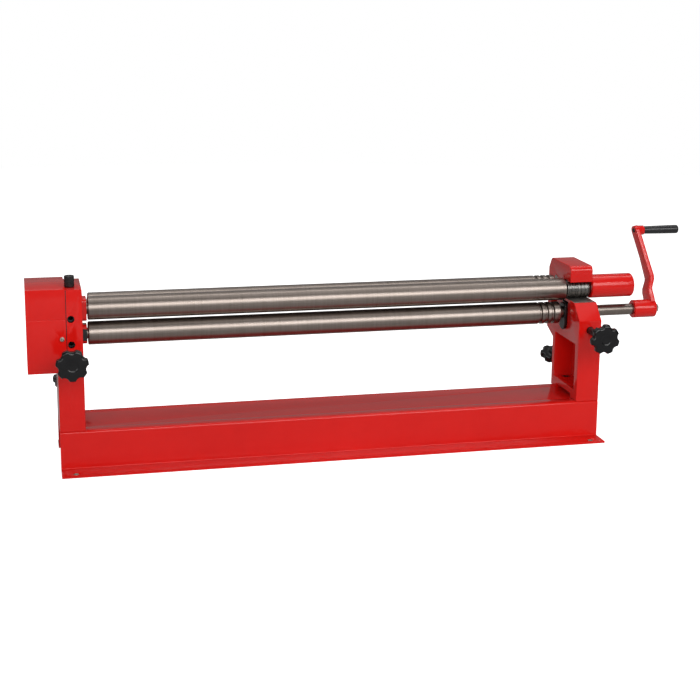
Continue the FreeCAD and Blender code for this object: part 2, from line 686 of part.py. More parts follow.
for name, s in (("lower_block_left", -1), ("lower_block_right", 1)):
    p = Piece(name, (0, pinch_y, 0))
    bore = 15 if s < 0 else 14.8
    a, b = span(s, 555.7, 608)
    h = block_half if s < 0 else block_right
    p.ex("YZ", a, b, pts=[(-h, wedge_line(-h)), (h, wedge_line(h)), (h, lower_z + 23), (-h, lower_z + 23)])
    if s < 0:
        a, b = span(s, 544, 555.7)
        p.ex("YZ", a, b, pts=[(-h, 266), (-h + 7.5, 258.5), (h - 7.5, 258.5), (h, 266),
                              (h, 292), (h - 7.5, 299.5), (-h + 7.5, 299.5), (-h, 292)])
    p.ex("YZ", -612 if s < 0 else 550, -543 if s < 0 else 612, circles=[(0, lower_z, bore)], cut=True)
p = Piece("lower_bush_left", (0, pinch_y, lower_z))
p.turn([(-607.5, left_rad + run_fit), (-607.5, 15), (-544.5, 15), (-544.5, left_rad + run_fit)])
p = Piece("lower_bush_right", (0, pinch_y, lower_z))
p.turn([(556, shaft_rad + run_fit), (556, 14.8), (607.5, 14.8), (607.5, shaft_rad + run_fit)])
p = Piece("lower_collar_right", (0, pinch_y, lower_z))
nose = [(17.2, -24), (17.2, 16), (12, 21.5), (-12, 21.5), (-17.2, 16), (-17.2, -24)]
for i in range(1, 9):
    a = math.radians(180 + 20 * i)
    nose.append((17.2 * math.cos(a), -24 + 17.2 * math.sin(a)))
p.ex("YZ", 549, 555.7, pts=nose)
p.round_edges(1.5, lambda e: abs(e.BoundBox.Center.x - 549) < 0.01 and e.BoundBox.XLength < 0.01)
p.ex("YZ", 548, 557, circles=[(0, 0, 14)], cut=True)

# ---- wedges, screws and knobs that lift the lower roll
for side, s in (("left", -1), ("right", 1)):
    p = Piece("front_wedge_" + side, (s * mid_x, 0, 0))
    wf = wedge_line(wedge_front - pinch_y) - slide_gap
    wb = wedge_line(wedge_back - pinch_y) - slide_gap
    p.ex("YZ", -wedge_half, wedge_half, pts=[(wedge_front, wedge_low), (wedge_back, wedge_low), (wedge_back, wb), (wedge_front, wf)])
    p.ex("XZ", wedge_front - 1, wedge_front + 12, circles=[(0, screw_z, 5.05)], cut=True)
    p = Piece("front_screw_" + side, (s * mid_x, 0, screw_z), TURN_Y)
    p.turn([(-166, 0), (-166, 6), (-149, 6), (-149, 8.5), (-76, 8.5), (-75, 7.5), (-75, 6), (-20.3, 6), (-20.3, 5), (-9, 5), (-8.5, 4.5), (-8.5, 0)])


def star_knob(label, at, rot, lo, bore, sign, phase=0.0):
    """Seven-lobed knob; lo is its inner face, sign the way it grows."""
    p = Piece(label, at, rot)
    hub, mid, hi = lo, lo + sign * 9, lo + sign * knob_thk.v
    p.turn([(hub, 0), (hub, 14), (lo + sign * 8, 15.5), (lo + sign * 8.4, 31.5), (lo + sign * 10.5, knob_rad),
            (hi - sign * 4, knob_rad), (hi - sign * 1.4, 31), (hi, 26), (hi, 0)])
    a, b = min(lo, hi) - 1, max(lo, hi) + 1
    c, k = math.cos(phase), math.sin(phase)
    f = p.ex("YZ", a, b, circles=[(-(knob_rad + 6.3) * k, (knob_rad + 6.3) * c, 11.2)], cut=True)
    p.around(f, 7)
    lo_b, hi_b = (lo, lo + 17) if sign > 0 else (lo - 17, lo)
    p.ex("YZ", lo_b - 0.5, hi_b + 0.5, circles=[(0, 0, bore)], cut=True)
    return p


for side, s in (("left", -1), ("right", 1)):
    star_knob("front_knob_" + side, (s * mid_x, 0, screw_z), TURN_Y, -149.0, 6, -1, math.radians(-21) if s > 0 else 0.0)

# ---- rear roll, its blocks, bushes, screws and knobs
p = Piece("rear_roll", (0, rearroll_y, rearroll_z))
prof = [(-596, 0), (-596, 10.4), (-595.4, 11), (rear_left, 11), (rear_left, roll_rad - 1.5), (rear_left + 1.5, roll_rad)]
for i in range(3):
    x = rear_groove_x + groove_step * i
    prof += [(x - groove_half, roll_rad), (x - groove_half + 1.5, groove_floor),
             (x + groove_half - 1.5, groove_floor), (x + groove_half, roll_rad)]
prof += [(rear_right - 1.5, roll_rad), (rear_right, roll_rad - 1.5), (rear_right, 11), (596.4, 11), (597, 10.4), (597, 0)]
p.turn(prof)
LEAN = ROT(V(1, 0, 0), tilt.v)
for side, s in (("left", -1), ("right", 1)):
    p = Piece("rear_block_" + side, (0, rearroll_y, rearroll_z), LEAN)
    p.b.setExpression("Placement.Rotation.Angle", "dims.tilt")
    a, b = (-597.5, -549.5) if s < 0 else (553.5, 597.7)
    p.box(a, b, -rear_half, rear_half, -30, 20)
    p.ex("YZ", a - 1, b + 1, circles=[(0, 0, 14)], cut=True)
    p.ex("XY", -31, -18, circles=[(s * mid_x, 0, 5.05)], cut=True)
    p = Piece("rear_bush_" + side, (0, rearroll_y, rearroll_z))
    p.turn([(a + 0.5, 11.05), (a + 0.5, 14), (b - 0.5, 14), (b - 0.5, 11.05)])
    p = Piece("rear_screw_" + side, (s * mid_x, rearroll_y, rearroll_z), TURN_U)
    p.turn([(-201, 0), (-201, 8), (-30.3, 8), (-30.3, 5), (-19.5, 5), (-19, 4.5), (-19, 0)])
    star_knob("rear_knob_" + side, (s * mid_x, rearroll_y, rearroll_z), TURN_U, -184.0, 8, -1)

# ---- crank: hub, flat bent arm and boss in one weldment
BACK = ROT(V(-1, 0, 0), crank_lean.v)
CL, SL = math.cos(math.radians(crank_lean.v)), math.sin(math.radians(crank_lean.v))


def crank_piece(label):
    p = Piece(label, (0, pinch_y, lower_z), BACK)
    p.b.setExpression("Placement.Rotation.Angle", "dims.crank_lean")
    return p


def leaned(pts):
    """Upright points (across, up) in the crank's own turned frame."""
    return [(y * CL - z * SL, y * SL + z * CL) for y, z in pts]


p = crank_piece("crank_arm")
p.turn([(hub_in, 0), (hub_in, hub_rad - 1.2), (hub_in + 1.2, hub_rad), (hub_out - 1.2, hub_rad), (hub_out, hub_rad - 1.2), (hub_out, 0)])
path = [(771.3, 12), (770.8, 22), (768.5, 40), (769.3, 48), (776.8, 67), (777.7, 75), (768.6, 127.5), (758.7, 177), (754.4, 200)]
left, right = [], []
for i, (x, z) in enumerate(path):
    a = path[max(i - 1, 0)]
    b = path[min(i + 1, len(path) - 1)]
    dx, dz = b[0] - a[0], b[1] - a[1]
    n = math.hypot(dx, dz)
    nx, nz = -dz / n, dx / n
    left.append((x + arm_thk * (nx / 2), z + arm_thk * (nz / 2)))
    right.append((x - arm_thk * (nx / 2), z - arm_thk * (nz / 2)))
p.ex("XZ", -arm_root, arm_root, pts=left + right[::-1])
for s in (-1, 1):
    p.ex("YZ", 735, 795, pts=[(arm_root * s, 28), (arm_half * s, 122), (arm_half * s, 230), (30 * s, 230), (30 * s, 28)], cut=True)
end_lean = math.atan2(path[-2][0] - path[-1][0], path[-1][1] - path[-2][1])
p.round_edges(12.5, lambda e: along(e, (math.cos(end_lean), 0, math.sin(end_lean))) and e.BoundBox.Center.z > 192)
p.ex("YZ", 756, 774.7, circles=[(0, throw, 11.2)])
p.ex("YZ", hub_in - 1, hub_out + 1, circles=[(0, 0, shaft_rad)], cut=True)
p.ex("YZ", 730, 760, pts=leaned([(-3, 0), (3, 0), (3, 15.5), (-3, 15.5)]), cut=True)
p.ex("YZ", 745, 780, circles=[(0, throw, 5)], cut=True)
group("crank_key", [prim("Box", (730, pinch_y - 3, lower_z + 9.5), Length=30, Width=6, Height=6)])
p = crank_piece("crank_bolt")
p.turn([(751, 0), (751, 5), (hub_out, 5), (hub_out, 14), (hub_out + 2.5, 14), (hub_out + 2.5, 0)])
p.ex("YZ", hub_out + 2, hub_out + 9, pts=[(9.8 * math.cos(math.radians(60 * i)), 9.8 * math.sin(math.radians(60 * i))) for i in range(6)])


def spindle_piece(label):
    return Piece(label, (0, pinch_y + throw * SL, lower_z + throw * CL))


p = spindle_piece("grip_spindle")
p.turn([(749.8, 0), (749.8, 4.4), (750.4, 5), (858.6, 5), (858.6, 6.4), (862.6, 6.4), (862.6, 0)])
p = spindle_piece("crank_grip")
p.turn([(775.1, 5.05), (775.1, 8.3), (776.3, 9.1), (795, 9.4), (820, 9.8), (845, 10.1), (856, 10.2), (861.8, 9.9),
        (863.2, 8.7), (863.2, 6.8), (858.2, 6.8), (858.2, 5.05)])

doc.recompute()
bad = []
for o in doc.Objects:
    if "Invalid" in o.State or "Error" in o.State:
        bad.append((o.Name, o.Label, o.State))
for o in nodes:
    if o.Shape.isNull() or not o.Shape.isValid():
        bad.append((o.Label, "shape"))
if bad:
    raise RuntimeError("failed objects: %s" % bad)
os.makedirs("parts", exist_ok=True)
for o in nodes:
    o.Shape.exportStep("parts/%s.step" % o.Label)
    bb = o.Shape.BoundBox
    print("%-20s solids %d vol %11.1f  x %8.1f %8.1f  y %7.1f %7.1f  z %7.1f %7.1f" % (
        o.Label, len(o.Shape.Solids), o.Shape.Volume, bb.XMin, bb.XMax, bb.YMin, bb.YMax, bb.ZMin, bb.ZMax))
print(len(nodes), "nodes")
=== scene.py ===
import bpy
import bmesh
import json
import math
import numpy as np
from mathutils import Vector, Matrix


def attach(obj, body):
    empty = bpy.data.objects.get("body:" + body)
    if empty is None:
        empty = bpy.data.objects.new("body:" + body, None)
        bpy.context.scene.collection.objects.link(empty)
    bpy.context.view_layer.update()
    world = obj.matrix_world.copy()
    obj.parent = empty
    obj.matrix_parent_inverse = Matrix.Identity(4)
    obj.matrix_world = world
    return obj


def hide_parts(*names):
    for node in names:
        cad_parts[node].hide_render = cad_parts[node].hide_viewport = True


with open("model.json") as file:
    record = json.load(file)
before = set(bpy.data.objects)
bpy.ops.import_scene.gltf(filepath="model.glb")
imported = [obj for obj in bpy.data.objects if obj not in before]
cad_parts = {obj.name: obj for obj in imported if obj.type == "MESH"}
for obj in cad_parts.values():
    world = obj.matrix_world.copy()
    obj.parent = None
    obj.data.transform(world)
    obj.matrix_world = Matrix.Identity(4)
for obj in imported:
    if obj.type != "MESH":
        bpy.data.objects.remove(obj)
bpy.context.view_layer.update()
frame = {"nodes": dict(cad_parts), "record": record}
NODES = frame["nodes"]
scene = bpy.context.scene

# ---------------------------------------------------------------- sizes, mm
PY, UZ, LZ = 10.0, 334.0, 279.0          # pinch rolls
RY, RZ = 65.0, 331.0                     # rear roll
TILT = math.radians(20)
MX = 583.0                               # middle of each end frame
SZ = 254.0                               # front screws
THROW = 189.0
SWUNG = math.radians(22)                  # the crank as drawn leans back by this
GY, GZ = PY + THROW * math.sin(SWUNG), LZ + THROW * math.cos(SWUNG)


# ================================================================ materials
class Tree:
    """A small helper for building node trees."""

    def __init__(self, mat):
        mat.use_nodes = True
        self.m = mat
        self.t = mat.node_tree
        self.t.nodes.clear()
        self.out = self.t.nodes.new("ShaderNodeOutputMaterial")
        self.bsdf = self.t.nodes.new("ShaderNodeBsdfPrincipled")
        self.t.links.new(self.bsdf.outputs[0], self.out.inputs[0])
        self.co = self.t.nodes.new("ShaderNodeTexCoord").outputs["Object"]

    def set(self, **kw):
        for k, v in kw.items():
            self.bsdf.inputs[k.replace("_", " ")].default_value = v
        return self

    def link(self, a, b):
        self.t.links.new(a, b)

    def inp(self, name):
        return self.bsdf.inputs[name]

    def node(self, kind, **kw):
        n = self.t.nodes.new(kind)
        for k, v in kw.items():
            setattr(n, k, v)
        return n

    def stretch(self, sx, sy, sz, src=None):
        n = self.node("ShaderNodeMapping")
        n.inputs["Scale"].default_value = (sx, sy, sz)
        self.link(src or self.co, n.inputs["Vector"])
        return n.outputs[0]

    def noise(self, scale, detail=3.0, rough=0.55, src=None, distort=0.0):
        n = self.node("ShaderNodeTexNoise")
        n.inputs["Scale"].default_value = scale
        n.inputs["Detail"].default_value = detail
        n.inputs["Roughness"].default_value = rough
        n.inputs["Distortion"].default_value = distort
        self.link(src or self.co, n.inputs["Vector"])
        return n.outputs[0]

    def ramp(self, fac, stops, mode="LINEAR"):
        n = self.node("ShaderNodeValToRGB")
        n.color_ramp.interpolation = mode
        els = n.color_ramp.elements
        while len(els) > 1:
            els.remove(els[-1])
        els[0].position = stops[0][0]
        c = stops[0][1]
        els[0].color = c if len(c) == 4 else (*c, 1)
        for p, c in stops[1:]:
            e = els.new(p)
            e.color = c if len(c) == 4 else (*c, 1)
        self.link(fac, n.inputs[0])
        return n.outputs[0]

    def remap(self, fac, a, b, lo=0.0, hi=1.0):
        n = self.node("ShaderNodeMapRange")
        n.inputs["From Min"].default_value = lo
        n.inputs["From Max"].default_value = hi
        n.inputs["To Min"].default_value = a
        n.inputs["To Max"].default_value = b
        self.link(fac, n.inputs["Value"])
        return n.outputs[0]

    def math(self, op, a, b=None, clamp=False):
        n = self.node("ShaderNodeMath", operation=op, use_clamp=clamp)
        for i, v in enumerate((a, b)):
            if v is None:
                continue
            if isinstance(v, (int, float)):
                n.inputs[i].default_value = v
            else:
                self.link(v, n.inputs[i])
        return n.outputs[0]

    def mix(self, fac, a, b):
        n = self.node("ShaderNodeMix", data_type="RGBA")
        for sock, v in ((n.inputs["Factor"], fac), (n.inputs[6], a), (n.inputs[7], b)):
            if isinstance(v, (int, float)):
                sock.default_value = v
            elif isinstance(v, tuple):
                sock.default_value = v if len(v) == 4 else (*v, 1)
            else:
                self.link(v, sock)
        return n.outputs[2]

    def bump(self, height, dist, strength=1.0, normal=None):
        n = self.node("ShaderNodeBump")
        n.inputs["Distance"].default_value = dist
        n.inputs["Strength"].default_value = strength
        self.link(height, n.inputs["Height"])
        if normal is not None:
            self.link(normal, n.inputs["Normal"])
        return n.outputs[0]

    def edge(self, radius, lo=0.02, hi=0.25):
        """0 on flats, rising to 1 along outer and inner edges."""
        bev = self.node("ShaderNodeBevel", samples=4)
        bev.inputs["Radius"].default_value = radius
        geo = self.node("ShaderNodeNewGeometry")
        dot = self.node("ShaderNodeVectorMath", operation="DOT_PRODUCT")
        self.link(bev.outputs[0], dot.inputs[0])
        self.link(geo.outputs["Normal"], dot.inputs[1])
        away = self.math("SUBTRACT", 1.0, dot.outputs["Value"])
        return self.remap(away, 0.0, 1.0, lo, hi)


def paint(name, deep, bright, rough=0.2):
    t = Tree(bpy.data.materials.new(name))
    t.set(Metallic=0.0, IOR=1.36, Coat_Weight=0.35, Coat_Roughness=0.04, Coat_IOR=1.38)
    big = t.noise(2.6, 2.0, 0.5)
    mid = t.noise(31.0, 4.0, 0.6)
    fine = t.noise(520.0, 2.0, 0.5)
    tone = t.math("ADD", t.math("MULTIPLY", big, 0.7), t.math("MULTIPLY", mid, 0.3))
    col = t.ramp(tone, [(0.30, deep), (0.70, bright)])
    # thinner paint along the edges lets a darker primer through in small flecks
    fleck = t.noise(260.0, 5.0, 0.7)
    worn = t.math("MULTIPLY", t.edge(0.0009, 0.05, 0.35), t.remap(fleck, 0.0, 1.0, 0.57, 0.66), clamp=True)
    col = t.mix(t.math("MULTIPLY", worn, 0.40), col, (0.20, 0.012, 0.012))
    # a few dust specks caught in the paint
    speck = t.remap(t.noise(900.0, 1.0, 0.5), 0.0, 1.0, 0.79, 0.83)
    col = t.mix(t.math("MULTIPLY", speck, 0.35), col, (0.35, 0.03, 0.03))
    t.link(col, t.inp("Base Color"))
    ro = t.math("ADD", t.remap(mid, rough - 0.05, rough + 0.07), t.math("MULTIPLY", worn, 0.20))
    t.link(ro, t.inp("Roughness"))
    peel = t.bump(fine, 0.00002, 0.5)
    sag = t.bump(t.noise(70.0, 2.0, 0.5), 0.00012, 0.35, peel)
    t.link(sag, t.inp("Normal"))
    t.link(sag, t.inp("Coat Normal"))
    return t.m


def ground_steel(name, dark, light, r0, r1, axis="x", ring=1400.0, aniso=0.45, along=0.5):
    """Steel turned or ground about an axis: fine rings round it, long faint streaks along it."""
    t = Tree(bpy.data.materials.new(name))
    t.set(Metallic=1.0, Anisotropic=aniso)
    k = {"x": (1, .02, .02), "y": (.02, 1, .02), "z": (.02, .02, 1)}[axis]
    rings = t.noise(ring, 2.0, 0.6, t.stretch(*k))
    rings2 = t.noise(ring * 0.12, 3.0, 0.6, t.stretch(*(c if c == 1 else .03 for c in k)))
    streak = t.noise(160.0, 4.0, 0.6, t.stretch(*(0.012 if c == 1 else 1.0 for c in k)))
    blot = t.noise(7.0, 3.0, 0.6, t.stretch(*(0.6 if c == 1 else 2.5 for c in k)))
    mixed = t.math("ADD", t.math("MULTIPLY", rings, 0.5), t.math("MULTIPLY", rings2, 0.5))
    tone = t.math("ADD", t.math("MULTIPLY", mixed, 1.0 - along), t.math("MULTIPLY", t.math("ADD", t.math("MULTIPLY", streak, 0.6), t.math("MULTIPLY", blot, 0.4)), along))
    t.link(t.ramp(tone, [(0.34, dark), (0.66, light)]), t.inp("Base Color"))
    ro = t.math("ADD", t.remap(mixed, r0, r1, 0.3, 0.7), t.remap(streak, -0.012, 0.012, 0.3, 0.7))
    t.link(ro, t.inp("Roughness"))
    tan = t.node("ShaderNodeTangent", direction_type="RADIAL", axis=axis.upper())
    t.link(tan.outputs[0], t.inp("Tangent"))
    t.link(t.bump(rings2, 0.0000020, 0.5), t.inp("Normal"))
    return t.m


def dull_metal(name, dark, light, r0, r1, scale=60.0, metallic=1.0, bump=0.00002, oil=0.0):
    t = Tree(bpy.data.materials.new(name))
    t.set(Metallic=metallic)
    if oil:
        t.set(Coat_Weight=oil, Coat_Roughness=0.2)
    a = t.noise(scale, 5.0, 0.65)
    b = t.noise(scale * 9, 3.0, 0.6)
    tone = t.math("ADD", t.math("MULTIPLY", a, 0.65), t.math("MULTIPLY", b, 0.35))
    col = t.ramp(tone, [(0.3, dark), (0.7, light)])
    e = t.edge(0.0006, 0.05, 0.4)
    col = t.mix(t.math("MULTIPLY", e, 0.35), col, tuple(min(1.0, c * 2.2) for c in light[:3]))
    t.link(col, t.inp("Base Color"))
    t.link(t.remap(tone, r0, r1, 0.3, 0.7), t.inp("Roughness"))
    t.link(t.bump(b, bump, 0.6), t.inp("Normal"))
    return t.m


def plastic(name, dark, light, r0, r1, grain=900.0, depth=0.00003, coat=0.0, ior=1.45):
    t = Tree(bpy.data.materials.new(name))
    t.set(Metallic=0.0, IOR=ior)
    if coat:
        t.set(Coat_Weight=coat, Coat_Roughness=0.12)
    a = t.noise(25.0, 4.0, 0.6)
    g = t.noise(grain, 3.0, 0.6)
    t.link(t.ramp(a, [(0.3, dark), (0.7, light)]), t.inp("Base Color"))
    e = t.edge(0.0008, 0.05, 0.4)
    ro = t.math("SUBTRACT", t.remap(t.math("ADD", t.math("MULTIPLY", a, 0.6), t.math("MULTIPLY", g, 0.4)), r0, r1, 0.3, 0.7),
                t.math("MULTIPLY", e, 0.06))
    t.link(ro, t.inp("Roughness"))
    t.link(t.bump(g, depth, 0.5), t.inp("Normal"))
    return t.m


M = {
    "red_paint": paint("red_paint", (0.61, 0.0060, 0.004), (0.71, 0.0090, 0.006), 0.17),
    "roll_steel": ground_steel("roll_steel", (0.195, 0.160, 0.139), (0.305, 0.262, 0.234), 0.275, 0.310, ring=1500.0, along=0.5),
    "bright_steel": ground_steel("bright_steel", (0.42, 0.39, 0.36), (0.60, 0.57, 0.54), 0.22, 0.34, ring=2200.0, aniso=0.3),
    "sleeve_steel": ground_steel("sleeve_steel", (0.10, 0.098, 0.092), (0.26, 0.25, 0.235), 0.22, 0.36, ring=1800.0, aniso=0.3),
    "dark_steel": dull_metal("dark_steel", (0.018, 0.018, 0.020), (0.050, 0.049, 0.050), 0.30, 0.48, oil=0.3),
    "zinc_steel": dull_metal("zinc_steel", (0.50, 0.47, 0.40), (0.74, 0.71, 0.63), 0.20, 0.36, scale=140.0),
    "bronze": dull_metal("bronze", (0.42, 0.26, 0.10), (0.66, 0.46, 0.22), 0.28, 0.45, scale=90.0),
    "black_knob": plastic("black_knob", (0.0025, 0.0025, 0.003), (0.0055, 0.0055, 0.006), 0.14, 0.26, ior=1.42),
    "black_grip": plastic("black_grip", (0.007, 0.0065, 0.008), (0.014, 0.0135, 0.016), 0.24, 0.34, grain=1400.0, ior=1.5),
    "mouth_iron": dull_metal("mouth_iron", (0.22, 0.205, 0.19), (0.42, 0.40, 0.37), 0.42, 0.58, scale=70.0, oil=0.1),
    "bare_iron": dull_metal("bare_iron", (0.10, 0.094, 0.088), (0.20, 0.19, 0.178), 0.30, 0.46, scale=80.0, oil=0.2),
}

# every CAD node starts with the material of its slot
for row in frame["record"]["subparts"]:
    ob = NODES[row["node"]]
    for p_ in range(max(1, len(ob.data.materials))):
        if len(ob.data.materials):
            ob.data.materials[p_] = M[row["material_slot"]]
        else:
            ob.data.materials.append(M[row["material_slot"]])
SLOT = {row["node"]: row["material_slot"] for row in frame["record"]["subparts"]}
BODY = {n: b for b, ns in frame["record"]["behaviour"]["bodies"].items() for n in ns}


# ================================================================ mesh helpers
def new_object(name, bm, node, mat=None, angle=32.0):
    """Object from a bmesh in mm, standing for one CAD node."""
    for v in bm.verts:
        v.co = v.co * 0.001
    bmesh.ops.recalc_face_normals(bm, faces=bm.faces)
    me = bpy.data.meshes.new(name)
    bm.to_mesh(me)
    bm.free()
    for p in me.polygons:
        p.use_smooth = True
    me.set_sharp_from_angle(angle=math.radians(angle))
    ob = bpy.data.objects.new(name, me)
    scene.collection.objects.link(ob)
    me.materials.append(M[mat or SLOT[node]])
    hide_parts(node)
    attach(ob, BODY[node])
    return ob


def soften(pts, rads, steps=4):
    """Round the corners of an open (x, r) profile.  rads is one radius, or one per point."""
    out = []
    n = len(pts)
    for i, p in enumerate(pts):
        rad = rads[i] if isinstance(rads, (list, tuple)) else rads
        if i in (0, n - 1) or rad <= 0:
            out.append(p)
            continue
        a, b, c = Vector(pts[i - 1]), Vector(p), Vector(pts[i + 1])
        u, w = (a - b), (c - b)
        lu, lw = u.length, w.length
        if lu < 1e-6 or lw < 1e-6:
            out.append(p)
            continue
        u, w = u / lu, w / lw
        ang = math.acos(max(-1, min(1, u.dot(w))))
        if ang > math.pi - 0.05:
            out.append(p)
            continue
        cut = min(rad / math.tan(ang / 2), lu * 0.45, lw * 0.45)
        for k in range(steps + 1):
            s = k / steps
            q = (b + u * cut) * (1 - s) ** 2 + b * (2 * s * (1 - s)) + (b + w * cut) * s ** 2
            out.append((q.x, q.y))
    return out


def axes(direction):
    """Two unit vectors across a direction."""
    d = Vector(direction).normalized()
    a = Vector((0, 0, 1)) if abs(d.z) < 0.9 else Vector((0, 1, 0))
    e1 = (a - d * a.dot(d)).normalized()
    return d, e1, d.cross(e1)


def lathe_bm(bm, pts, at, direction=(1, 0, 0), seg=96, wave=None, phase=0.0):
    """Turned surface: pts are (distance along the axis, radius) from the point at."""
    d, e1, e2 = axes(direction)
    at = Vector(at)
    rings = []
    for s, r in pts:
        if r < 1e-6:
            rings.append([bm.verts.new(at + d * s)])
            continue
        ring = []
        for k in range(seg):
            a = 2 * math.pi * k / seg + phase
            rr = r if wave is None else wave(s, r, a)
            ring.append(bm.verts.new(at + d * s + (e1 * math.cos(a) + e2 * math.sin(a)) * rr))
        rings.append(ring)
    for A, B in zip(rings, rings[1:]):
        if len(A) == 1 and len(B) == 1:
            continue
        if len(A) == 1:
            for k in range(seg):
                bm.faces.new((A[0], B[k], B[(k + 1) % seg]))
        elif len(B) == 1:
            for k in range(seg):
                bm.faces.new((A[k], A[(k + 1) % seg], B[0]))
        else:
            for k in range(seg):
                bm.faces.new((A[k], A[(k + 1) % seg], B[(k + 1) % seg], B[k]))
    return rings


def lathe(name, node, pts, at, direction=(1, 0, 0), seg=96, mat=None, rad=0.5, wave=None, extra=None, angle=32.0, steps=4, phase=0.0):
    bm = bmesh.new()
    lathe_bm(bm, soften(pts, rad, steps), at, direction, seg, wave, phase)
    if extra:
        extra(bm)
    return new_object(name, bm, node, mat, angle)


def skin(me):
    me.calc_loop_triangles()
    return sum(t.area for t in me.loop_triangles)


def refined(node, width=0.8, seg=3, angle=38.0, name=None, mats=None, pick=None, pre=None):
    """A CAD node's own shape with its sharp edges eased, standing for that node."""
    src = NODES[node]
    bm = bmesh.new()
    bm.from_mesh(src.data)
    bmesh.ops.remove_doubles(bm, verts=bm.verts, dist=2e-6)
    bmesh.ops.dissolve_limit(bm, angle_limit=math.radians(0.4), verts=bm.verts, edges=bm.edges, use_dissolve_boundaries=False)
    if pre:
        pre(bm)
    me = bpy.data.meshes.new((name or node) + "_shell")
    bm.to_mesh(me)
    bm.free()
    ob = bpy.data.objects.new((name or node) + "_shell", me)
    scene.collection.objects.link(ob)
    before = skin(me)
    for miter in ("MITER_ARC", "MITER_SHARP", "MITER_PATCH") if width else ():
        b = ob.modifiers.new("ease", "BEVEL")
        b.width = width * 0.001
        b.segments = seg
        b.limit_method = "ANGLE"
        b.angle_limit = math.radians(angle)
        b.use_clamp_overlap = True
        b.miter_outer = miter
        dg = bpy.context.evaluated_depsgraph_get()
        out = bpy.data.meshes.new_from_object(ob.evaluated_get(dg))
        ob.modifiers.clear()
        # easing only ever takes a little skin away, so more skin means folded faces
        if 0.93 < skin(out) / before < 1.003:
            ob.data = out
            break
    else:
        if width:
            print("not eased:", node)
    me = ob.data
    me.materials.clear()
    for m in mats or [SLOT[node]]:
        me.materials.append(M[m])
    for p in me.polygons:
        p.use_smooth = True
        p.material_index = 0
        if pick:
            p.material_index = pick(p.center * 1000, p.normal)
    me.set_sharp_from_angle(angle=math.radians(35))
    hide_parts(node)
    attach(ob, BODY[node])
    return ob


# ================================================================ rolls
def ring_groove(x, half, floor, top):
    return [(x - half, top), (x - half + 1.3, floor + 0.4), (x - half + 2.0, floor), (x + half - 2.0, floor), (x + half - 1.3, floor + 0.4), (x + half, top)]


def upper_tongue(bm):
    vs = bmesh.ops.create_cube(bm, size=1.0)["verts"]
    for v in vs:
        v.co = Vector((v.co.x * 14.5 - 581.25, v.co.y * 10 + PY, v.co.z * 22 + UZ))


upper = [(-574, 0), (-574, 12.4), (-573.4, 13), (-541.5, 13), (-541.5, 23.8), (-539.9, 25.4), (548.4, 25.4), (550, 23.8), (550, 13),
         (635.2, 13), (636, 12.2), (636, 0)]
lathe("upper_roll_turned", "upper_roll", upper, (0, PY, UZ), seg=160, rad=0.5, extra=upper_tongue)

low = [(-650, 0), (-650, 11.2), (-649.2, 12), (-541.5, 12), (-541.5, 23.8), (-539.9, 25.4)]
for i in range(3):
    low += ring_groove(489 + 15 * i, 3.5, 21.2, 25.4)
low += [(536.4, 25.4), (538, 23.8), (538, 13), (779.5, 13), (779.5, 0)]
lathe("lower_roll_turned", "lower_roll", low, (0, PY, LZ), seg=160, rad=0.45)

rear = [(-596, 0), (-596, 10.4), (-595.4, 11), (-538, 11), (-538, 23.8), (-536.4, 25.4)]
for i in range(3):
    rear += ring_groove(498 + 15 * i, 3.5, 21.2, 25.4)
rear += [(543.4, 25.4), (545, 23.8), (545, 11), (596.4, 11), (597, 10.4), (597, 0)]
lathe("rear_roll_turned", "rear_roll", rear, (0, RY, RZ), seg=160, rad=0.45)


# ================================================================ star knobs
def star_outline(a, scallop=7, top=34.0, centre=40.3, cut=11.2):
    """Radius of the lobed outline at angle a."""
    step = 2 * math.pi / scallop
    f = (a + step / 2) % step - step / 2
    s = centre * math.sin(f)
    if abs(s) < cut:
        inner = centre * math.cos(f) - math.sqrt(cut * cut - s * s)
    else:
        inner = 60.0
    k = 2.6
    h = max(k - abs(inner - top), 0.0) / k
    return min(inner, top) - h * h * h * k / 6.0


